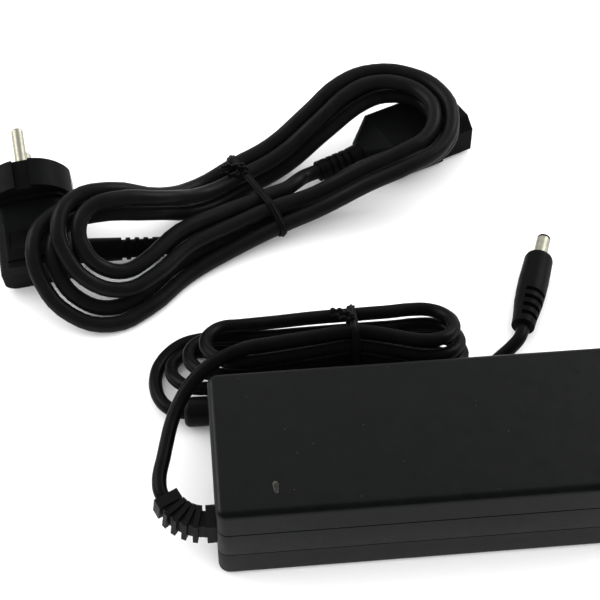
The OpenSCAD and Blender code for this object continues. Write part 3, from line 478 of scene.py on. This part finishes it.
def lens_material():
    n = Nodes("light_lens", "lens")
    n.set(Transmission_Weight=0.3, IOR=1.49)
    cloud = n.ramp(n.noise(900.0, 3.0), 0.45, 0.7, 0.0, 1.0)
    colour = n.mix(cloud, (0.008, 0.009, 0.007), (0.06, 0.062, 0.05))
    roughness = n.ramp(n.noise(1500.0, 2.0), 0.3, 0.7, 0.25, 0.4)
    return n.finish(colour, roughness, n.bump(n.noise(1800.0, 2.0), 0.00003))


CASE_TOP = moulded(
    "case_top", "case_black", (0.0012, 0.0015, 0.0015), (0.0018, 0.0021, 0.0021), 0.32,
    dust=True, gloss=0.25,
)
CASE_BOTTOM = moulded(
    "case_bottom", "case_grey", (0.003, 0.0033, 0.0033), (0.0042, 0.0045, 0.0045), 0.42,
    dust=True, gloss=0.36,
)
CASE_INLET = moulded(
    "case_inlet", "case_black", (0.003, 0.0033, 0.0033), (0.004, 0.0043, 0.0043), 0.38
)
RELIEF = moulded(
    "relief_rubber", "cord", (0.0026, 0.003, 0.0028), (0.0036, 0.004, 0.0038), 0.4, grain=2200.0
)
DC_JACKET = jacket(
    "dc_jacket", "cord", (0.0014, 0.0017, 0.0015), (0.0022, 0.0025, 0.0023), 0.33, gloss=0.1
)
MAINS_JACKET = jacket(
    "mains_jacket", "mains_cord", (0.0032, 0.0035, 0.0033), (0.0044, 0.0047, 0.0045), 0.36
)
TIE = jacket("tie_jacket", "tie", (0.0016, 0.0018, 0.0017), (0.0026, 0.0028, 0.0027), 0.4)
BEAD = moulded(
    "bead_cover", "bead", (0.0026, 0.0029, 0.0028), (0.0036, 0.0039, 0.0038), 0.34, grain=1800.0
)
PLUG = moulded(
    "plug_moulding", "plug_plastic", (0.0017, 0.002, 0.0019), (0.0026, 0.0029, 0.0028), 0.43,
    grain=1700.0, gloss=0.075,
)
NICKEL = plated("nickel_plate", "nickel", (0.66, 0.65, 0.53), (0.58, 0.56, 0.46), 0.42)

# What each material slot of the record looks like on the CAD nodes that show
NODE_FINISHES = {
    "case_grey": CASE_BOTTOM,
    "cord": RELIEF,
    "tie": TIE,
    "bead": BEAD,
    "mains_cord": MAINS_JACKET,
    "lens": lens_material(),
    "case_black": CASE_INLET,
    "board": plain("solder_mask", "board", (0.02, 0.12, 0.04), (0.03, 0.17, 0.06), 0.35),
    "film": plain("insulating_film", "film", (0.6, 0.6, 0.55), (0.7, 0.7, 0.66), 0.5),
    "aluminium": plain(
        "bare_aluminium", "aluminium", (0.6, 0.6, 0.62), (0.72, 0.72, 0.74), 0.35, metallic=1.0
    ),
    "ferrite": plain("ground_ferrite", "ferrite", (0.03, 0.03, 0.032), (0.05, 0.05, 0.054), 0.6),
    "tape": plain("winding_tape", "tape", (0.7, 0.5, 0.04), (0.8, 0.6, 0.08), 0.3),
    "capacitor_sleeve": plain(
        "shrunk_sleeve", "capacitor_sleeve", (0.01, 0.02, 0.07), (0.02, 0.03, 0.1), 0.25
    ),
    "box_capacitor": plain(
        "moulded_box", "box_capacitor", (0.7, 0.42, 0.03), (0.78, 0.5, 0.06), 0.3
    ),
    "copper": plain(
        "enamelled_copper", "copper", (0.5, 0.16, 0.05), (0.62, 0.24, 0.1), 0.25, metallic=1.0
    ),
    "component": plain(
        "moulded_component", "component", (0.012, 0.012, 0.012), (0.02, 0.02, 0.02), 0.5
    ),
    "disc_capacitor": plain(
        "dipped_disc", "disc_capacitor", (0.03, 0.1, 0.35), (0.05, 0.14, 0.42), 0.25
    ),
    "fuse_glass": plain("fuse_tube", "fuse_glass", (0.6, 0.64, 0.62), (0.7, 0.74, 0.72), 0.12),
    "nickel": NICKEL,
    "wire": plain("wire_insulation", "wire", (0.2, 0.02, 0.015), (0.28, 0.03, 0.02), 0.4),
    "brass": plain(
        "sprung_brass", "brass", (0.6, 0.42, 0.14), (0.7, 0.5, 0.2), 0.28, metallic=1.0
    ),
    "plug_plastic": PLUG,
}

# ---------- mesh helpers ----------

SHARP_ANGLE = math.radians(35)
SOFTENED_ANGLE = math.radians(40)
CORNER_STEPS = 10
EDGE_STEPS = 8
TIE_STEPS = 72


def paint(obj, finish):
    """Gives a new piece its material."""
    obj.data.materials.clear()
    obj.data.materials.append(finish.material)


def new_piece(name, bm, finish, body=ADAPTER):
    """Turns a bmesh drawn in millimetres into an object that rides on a body."""
    bmesh.ops.remove_doubles(bm, verts=bm.verts, dist=1e-5)
    bmesh.ops.recalc_face_normals(bm, faces=bm.faces)
    bmesh.ops.scale(bm, vec=(MM, MM, MM), verts=bm.verts)
    mesh = bpy.data.meshes.new(name)
    bm.to_mesh(mesh)
    bm.free()
    obj = bpy.data.objects.new(name, mesh)
    bpy.context.collection.objects.link(obj)
    if finish is not None:
        paint(obj, finish)
    mesh.shade_smooth()
    mesh.set_sharp_from_angle(angle=SHARP_ANGLE)
    if body is not None:
        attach(obj, body)
    return obj


def round_rect(x, y, r, steps):
    """Corners of a rectangle with round corners, centred, anticlockwise."""
    points = []
    r = max(r, 1e-4)
    for quarter, (sx, sy) in enumerate(((1, 1), (-1, 1), (-1, -1), (1, -1))):
        for i in range(steps + 1):
            a = 90 * (quarter + i / steps)
            points.append((sx * (x / 2 - r) + r * cosd(a), sy * (y / 2 - r) + r * sind(a)))
    return points


def skin(bm, rings, closed=False):
    """Faces between rings of equally many vertices, with flat ends unless the rings close."""
    made = [[bm.verts.new(p) for p in ring] for ring in rings]
    pairs = list(zip(made, made[1:]))
    if closed:
        pairs.append((made[-1], made[0]))
    count = len(made[0])
    for a, b in pairs:
        for i in range(count):
            j = (i + 1) % count
            bm.faces.new((a[i], a[j], b[j], b[i]))
    if not closed:
        bm.faces.new(list(reversed(made[0])))
        bm.faces.new(made[-1])


def case_rings(profile):
    """Rings of a brick-shaped solid. profile is [(inset from the sides, height)], end to end."""
    rings = []
    for inset, z in profile:
        x, y = BRICK.x - 2 * inset, BRICK.y - 2 * inset
        outline = round_rect(x, y, max(CORNER - inset, 0.4), CORNER_STEPS)
        rings.append([(x, y, z) for x, y in outline])
    return rings


def arc_profile(cx, cz, r, start, end):
    """(inset, height) points on an arc; angles in degrees from the inset axis."""
    angles = [start + (end - start) * i / EDGE_STEPS for i in range(EDGE_STEPS + 1)]
    return [(cx + r * cosd(a), cz + r * sind(a)) for a in angles]


def cut(obj, cutter_bm):
    """Cuts a closed bmesh, drawn in millimetres, out of a piece and leaves a plain mesh."""
    cutter = new_piece("cutter", cutter_bm, None, None)
    modifier = obj.modifiers.new("cut", "BOOLEAN")
    modifier.operation = "DIFFERENCE"
    modifier.solver = "EXACT"
    modifier.object = cutter
    graph = bpy.context.evaluated_depsgraph_get()
    mesh = bpy.data.meshes.new_from_object(obj.evaluated_get(graph))
    obj.modifiers.clear()
    old = obj.data
    obj.data = mesh
    mesh.name = obj.name
    bpy.data.meshes.remove(old)
    bpy.data.objects.remove(cutter)
    mesh.shade_smooth()
    mesh.set_sharp_from_angle(angle=SHARP_ANGLE)


def box_bm(low, high, bevel=0.0):
    """Box between two corners, with its edges broken if bevel isn't 0."""
    bm = bmesh.new()
    bmesh.ops.create_cube(bm, size=1.0)
    size = Vector(high) - Vector(low)
    bmesh.ops.scale(bm, vec=size, verts=bm.verts)
    bmesh.ops.translate(bm, vec=(Vector(low) + Vector(high)) / 2, verts=bm.verts)
    if bevel:
        bmesh.ops.bevel(
            bm, geom=bm.edges[:], offset=bevel, segments=2, profile=0.5, affect="EDGES"
        )
    return bm


def soften(node, width):
    """Rounds the sharp edges of a CAD node with a modifier."""
    modifier = frame["nodes"][node].modifiers.new("edge", "BEVEL")
    modifier.width = width * MM
    modifier.segments = 2
    modifier.limit_method = "ANGLE"
    modifier.angle_limit = SOFTENED_ANGLE
    modifier.harden_normals = False


# ---------- leads ----------


def cord_curve(name, points, diameter, finish, body):
    """Round cord along points in millimetres, as a curve that rides on a body."""
    curve = bpy.data.curves.new(name, "CURVE")
    curve.dimensions = "3D"
    curve.resolution_u = 4
    curve.bevel_depth = diameter / 2 * MM
    curve.bevel_resolution = 6
    curve.use_fill_caps = True
    spline = curve.splines.new("BEZIER")
    spline.bezier_points.add(len(points) - 1)
    for knot, p in zip(spline.bezier_points, points):
        knot.co = p * MM
        knot.handle_left_type = "AUTO"
        knot.handle_right_type = "AUTO"
    obj = bpy.data.objects.new(name, curve)
    bpy.context.collection.objects.link(obj)
    curve.materials.append(finish.material)
    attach(obj, body)
    return obj


dc_points = dc_route()
dc_lead = cord_curve("dc_lead", dc_points, DC_D, DC_JACKET, ADAPTER)
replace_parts(dc_lead, "dc_cord_lead", "dc_cord_hank", "dc_cord_tail")

mains_points = mains_route()
mains_lead = cord_curve("mains_lead_cord", mains_points, MAINS_D, MAINS_JACKET, MAINS_LEAD)
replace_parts(mains_lead, "mains_cord_start", "mains_cord_hank", "mains_cord_end")

# ---------- floor and light ----------

PAPER = 0.93
MIRRORED_PAPER = 0.42  # the paper as the brick reflects it
FLOOR_HALF_SIDE = 3.0
FLOOR_HEIGHT = -0.00002
LAMP_TARGET = (-0.03, 0.06, 0.0)
LAMP_SIZE = (1.6, 1.2)
LAMP_POWER = 14
TENT_LIGHT = 1.7
# Where the tent fades, from front to back, and how bright it is there in reflections
TENT_FADE = (-0.3, 0.75, 0.03, 0.6)


def make_stage():
    """White paper that looks darker in reflections than it is."""
    bm = bmesh.new()
    bmesh.ops.create_grid(bm, x_segments=1, y_segments=1, size=FLOOR_HALF_SIDE)
    mesh = bpy.data.meshes.new("floor")
    bm.to_mesh(mesh)
    bm.free()
    floor = bpy.data.objects.new("floor", mesh)
    floor.location = (0, 0, FLOOR_HEIGHT)
    bpy.context.collection.objects.link(floor)
    material = bpy.data.materials.new("paper")
    material.use_nodes = True
    shader = material.node_tree.nodes["Principled BSDF"]
    tree = material.node_tree
    path = tree.nodes.new("ShaderNodeLightPath")
    shade = tree.nodes.new("ShaderNodeMix")
    shade.data_type = "RGBA"
    shade.inputs[6].default_value = (PAPER, PAPER, PAPER, 1)
    shade.inputs[7].default_value = (MIRRORED_PAPER, MIRRORED_PAPER, MIRRORED_PAPER, 1)
    tree.links.new(path.outputs["Is Glossy Ray"], shade.inputs["Factor"])
    tree.links.new(shade.outputs[2], shader.inputs["Base Color"])
    shader.inputs["Roughness"].default_value = 0.9
    shader.inputs["Specular IOR Level"].default_value = 0.2
    mesh.materials.append(material)


def area_light(name, place):
    data = bpy.data.lights.new(name, "AREA")
    data.shape = "RECTANGLE"
    data.size, data.size_y = LAMP_SIZE
    data.energy = LAMP_POWER
    light = bpy.data.objects.new(name, data)
    light.location = place
    light.rotation_mode = "QUATERNION"
    light.rotation_quaternion = (Vector(LAMP_TARGET) - Vector(place)).to_track_quat("-Z", "Y")
    bpy.context.collection.objects.link(light)


def make_world():
    """White tent: even light on everything, but a dim photographer's side in the reflections."""
    world = bpy.data.worlds.new("studio")
    world.use_nodes = True
    tree = world.node_tree
    tent = tree.nodes["Background"]
    tent.inputs["Color"].default_value = (1, 1, 1, 1)
    tent.inputs["Strength"].default_value = TENT_LIGHT
    mirrored = tree.nodes.new("ShaderNodeBackground")
    place = tree.nodes.new("ShaderNodeTexCoord")
    split = tree.nodes.new("ShaderNodeSeparateXYZ")
    tree.links.new(place.outputs["Generated"], split.inputs[0])
    fade = tree.nodes.new("ShaderNodeMapRange")
    fade.interpolation_type = "SMOOTHSTEP"
    set_range(fade, TENT_FADE)
    tree.links.new(split.outputs["Y"], fade.inputs["Value"])
    tree.links.new(fade.outputs["Result"], mirrored.inputs["Strength"])
    path = tree.nodes.new("ShaderNodeLightPath")
    mix = tree.nodes.new("ShaderNodeMixShader")
    tree.links.new(path.outputs["Is Glossy Ray"], mix.inputs["Fac"])
    tree.links.new(tent.outputs[0], mix.inputs[1])
    tree.links.new(mirrored.outputs[0], mix.inputs[2])
    tree.links.new(mix.outputs[0], tree.nodes["World Output"].inputs["Surface"])
    bpy.context.scene.world = world


make_stage()
area_light("left", (-1.7, 0.9, 1.25))
area_light("right", (1.7, 0.9, 1.25))
make_world()
bpy.context.scene.view_settings.view_transform = "Standard"

# ---------- brick shells ----------


def seam_profile(way):
    """(inset, height) points of a shell's rim. way is 1 for the upper shell, -1 for the lower."""
    rim = PARTING + way * SEAM_GAP
    return [
        (SEAM_CHAMFER + 1.2, rim),
        (SEAM_CHAMFER, rim),
        (0.04, rim + way * 0.12),
        (0, rim + way * SEAM_CHAMFER),
    ]


def top_shell():
    """Upper shell down to the parting line, with its scored line as a real groove."""
    profile = seam_profile(1)
    profile += [(0, SCORE - SCORE_HALF_WIDTH), (SCORE_DEPTH, SCORE), (0, SCORE + SCORE_HALF_WIDTH)]
    profile += arc_profile(EDGE, BRICK.z - EDGE, EDGE, 180, 90)
    bm = bmesh.new()
    skin(bm, case_rings(profile))
    shell = new_piece("case_top_shell", bm, CASE_TOP)
    hole = slot_prism(LIGHT_SIZE[0] + 0.3, LIGHT_SIZE[1] + 0.3, BRICK.z - 3, BRICK.z + 1)
    bmesh.ops.translate(hole, vec=(LIGHT.x, LIGHT.y, 0), verts=hole.verts)
    cut(shell, hole)
    cut(shell, cavity(PARTING - 1, BRICK.z - WALL))
    for opening in openings():
        cut(shell, opening)
    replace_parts(shell, "top_shell")


def cavity(low, high):
    """The space inside the walls."""
    x, y = BRICK.x / 2 - WALL, BRICK.y / 2 - WALL
    return box_bm((-x, -y, low), (x, y, high))


def openings():
    """Holes in the end walls for the strain relief's block and for the mains inlet."""
    half = RELIEF_SIDE / 2 + 0.2
    relief = box_bm(
        DC_EXIT - Vector((1, half, half)), DC_EXIT + Vector((WALL + 1, half, half)), bevel=0.3
    )
    x = BRICK.x / 2
    y, z = INLET_SIZE[0] / 2 + 0.15, INLET_SIZE[1] / 2 + 0.15
    inlet = box_bm((x - WALL - 1, -y, INLET_MID - z), (x + 1, y, INLET_MID + z), bevel=0.3)
    return relief, inlet


def slot_prism(width, length, low, high):
    """Upright prism with round ends, its length across the brick."""
    bm = bmesh.new()
    outline = round_rect(width, length, width / 2 - 0.01, EDGE_STEPS)
    skin(bm, [[(x, y, z) for x, y in outline] for z in (low, high)])
    return bm


def bottom_shell():
    """Lower shell up to the parting line."""
    profile = arc_profile(EDGE, EDGE, EDGE, 270, 180) + list(reversed(seam_profile(-1)))
    bm = bmesh.new()
    skin(bm, case_rings(profile))
    shell = new_piece("case_bottom_shell", bm, CASE_BOTTOM)
    cut(shell, cavity(WALL, PARTING + 1))
    for opening in openings():
        cut(shell, opening)
    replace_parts(shell, "bottom_shell")


top_shell()
bottom_shell()

# ---------- wire ties ----------

# Half of the band's section as (along the hank, outwards), with the wire as a ridge in the middle
TIE_SECTION = [(1.5, 0), (1.5, 0.35), (1.35, 0.5), (0.6, 0.52), (0.45, 0.82), (0.18, 1.0)]
TWISTED_WIRE = 1.25
TWIST_RADIUS = 0.42


def band_outline(strands, radius):
    """Outline at one distance round a bundle of strands, as (across, up) places."""
    angles = [360 * i / TIE_STEPS for i in range(TIE_STEPS)]
    ways = [Vector((cosd(a), sind(a))) for a in angles]
    return [max(strands, key=way.dot) + radius * way for way in ways]


def tie_band(name, strands, d, matrix, body):
    """The tie's closed band round a bundle of strands of diameter d."""
    section = TIE_SECTION + [(-x, r) for x, r in reversed(TIE_SECTION)]
    rings = []
    for x, r in section:
        outline = band_outline(strands, d / 2 + TIE_GAP + r)
        rings.append([(x + 0.25 * sind(15 * i), p.x, p.y) for i, p in enumerate(outline)])
    bm = bmesh.new()
    skin(bm, rings, closed=True)
    bm.transform(matrix)
    return new_piece(name, bm, TIE, body)


def twisted_loop(name, centre, along, aside, size, turns, matrix, body):
    """The tie's ends, twisted together and bent round into a small loop."""
    along, aside = Vector(along).normalized(), Vector(aside).normalized()
    across = along.cross(aside)
    points = []
    count = turns * 8
    for i in range(count + 1):
        a = 360 * i / count
        place = Vector(centre) + along * size[0] * cosd(a) + aside * size[1] * sind(a)
        outwards = along * cosd(a) + aside * sind(a)
        twist = outwards * cosd(a * turns) + across * sind(a * turns)
        points.append(matrix @ (place + TWIST_RADIUS * twist))
    cord_curve(name, points, TWISTED_WIRE, TIE, body)


def tie_top(strands, d):
    """Height of the middle of the band where it runs over the highest strand."""
    return max(s.y for s in strands) + d / 2 + TIE_GAP + TIE_THICKNESS / 2


def make_ties():
    across = [i / 2 + edge for i in range(8) for edge in (-0.006, 0.006)]
    strands = [Vector((p.y, p.z + DC_RISE)) for p in map(dc_leaning, across)]
    place = Matrix.Translation((DC_WAIST[0], 0, 0))
    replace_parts(tie_band("dc_wire_tie", strands, DC_D, place, ADAPTER), "dc_tie")
    twisted_loop("dc_wire_tie_ends", (-4.2, DC_WAIST[1] + 5.8, tie_top(strands, DC_D) + 0.7),
                 (-0.95, 0.2, 0.2), (0, 0.74, 0.67), (4.3, 1.25), 9, place, ADAPTER)
    strands = [Vector((p.y, p.z)) for p in (mains_local(i / 2) for i in range(9))]
    heading = Matrix.Rotation(math.radians(MAINS_HEADING), 4, "Z")
    place = Matrix.Translation((*MAINS_WAIST, 0)) @ heading
    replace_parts(tie_band("mains_wire_tie", strands, MAINS_D, place, MAINS_LEAD), "mains_tie")
    top = tie_top(strands, MAINS_D)
    twisted_loop("mains_wire_tie_ends", (-4.4, 9.6, top + 1.2),
                 (-0.88, 0.32, 0.25), (0.2, 0.7, 0.67), (4.8, 2.0), 10, place, MAINS_LEAD)
    twisted_loop("mains_wire_tie_knot", (-0.6, 8.4, top + 0.7),
                 (-0.2, 0.9, 0.1), (0.7, 0.1, 0.7), (2.4, 1.5), 6, place, MAINS_LEAD)


make_ties()

# ---------- what the CAD nodes wear ----------

slots = {row["node"]: row["material_slot"] for row in frame["record"]["subparts"]}
for node, obj in frame["nodes"].items():
    finish = NODE_FINISHES[slots[node]]
    obj.data.materials.clear()
    obj.data.materials.append(finish.material)

EDGE_ROUNDING = {
    "dc_strain_relief": 0.3,
    "dc_plug_grip": 0.2,
    "mains_plug_body": 0.35,
    "mains_plug_relief": 0.25,
    "connector_body": 0.4,
    "connector_relief": 0.25,
    "inlet_body": 0.25,
}
for node, width in EDGE_ROUNDING.items():
    soften(node, width)
